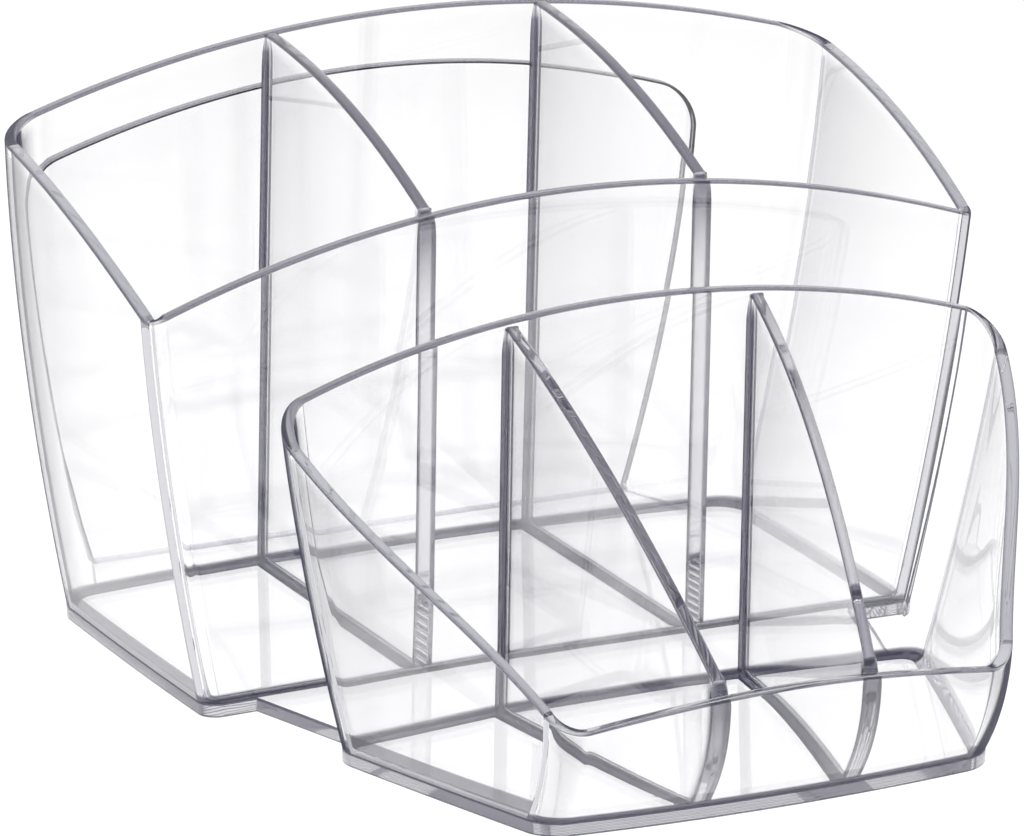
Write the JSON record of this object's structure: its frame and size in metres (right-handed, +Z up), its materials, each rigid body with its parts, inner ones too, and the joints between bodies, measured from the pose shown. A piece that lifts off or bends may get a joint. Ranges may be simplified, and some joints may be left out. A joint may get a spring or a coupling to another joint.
{
  "type": "compartment organizer",
  "caption": "Clear desk organizer: a tall tub and a low wedge tray, both divided into bays, with open slots between and behind them.",
  "frame": {"origin": "on the ground under the middle of the part's box", "axes": "+Z up, +X to the right, -Y towards the low lip of the tray, so the right half (+X) mirrors the left half and the part is longest along Y"},
  "size_m": [0.1454, 0.1582, 0.093],
  "materials": {
    "floor": "crystal clear, polished",
    "back_panel": "crystal clear, polished",
    "tub_front_wall": "crystal clear, polished",
    "tub_left_wall": "crystal clear, polished",
    "tub_rear_wall": "crystal clear, polished",
    "tub_right_wall": "crystal clear, polished",
    "tub_left_divider": "crystal clear, polished",
    "tub_right_divider": "crystal clear, polished",
    "tray_front_wall": "crystal clear, polished",
    "tray_left_wall": "crystal clear, polished",
    "tray_rear_wall": "crystal clear, polished",
    "tray_right_wall": "crystal clear, polished",
    "tray_left_divider": "crystal clear, polished",
    "tray_right_divider": "crystal clear, polished"
  },
  "bodies": {
    "root": {"floor": "floor", "back_panel": "back_panel", "tub_front_wall": "tub_front_wall", "tub_left_wall": "tub_left_wall", "tub_rear_wall": "tub_rear_wall", "tub_right_wall": "tub_right_wall", "tub_left_divider": "tub_left_divider", "tub_right_divider": "tub_right_divider", "tray_front_wall": "tray_front_wall", "tray_left_wall": "tray_left_wall", "tray_rear_wall": "tray_rear_wall", "tray_right_wall": "tray_right_wall", "tray_left_divider": "tray_left_divider", "tray_right_divider": "tray_right_divider"}
  },
  "joints": []
}
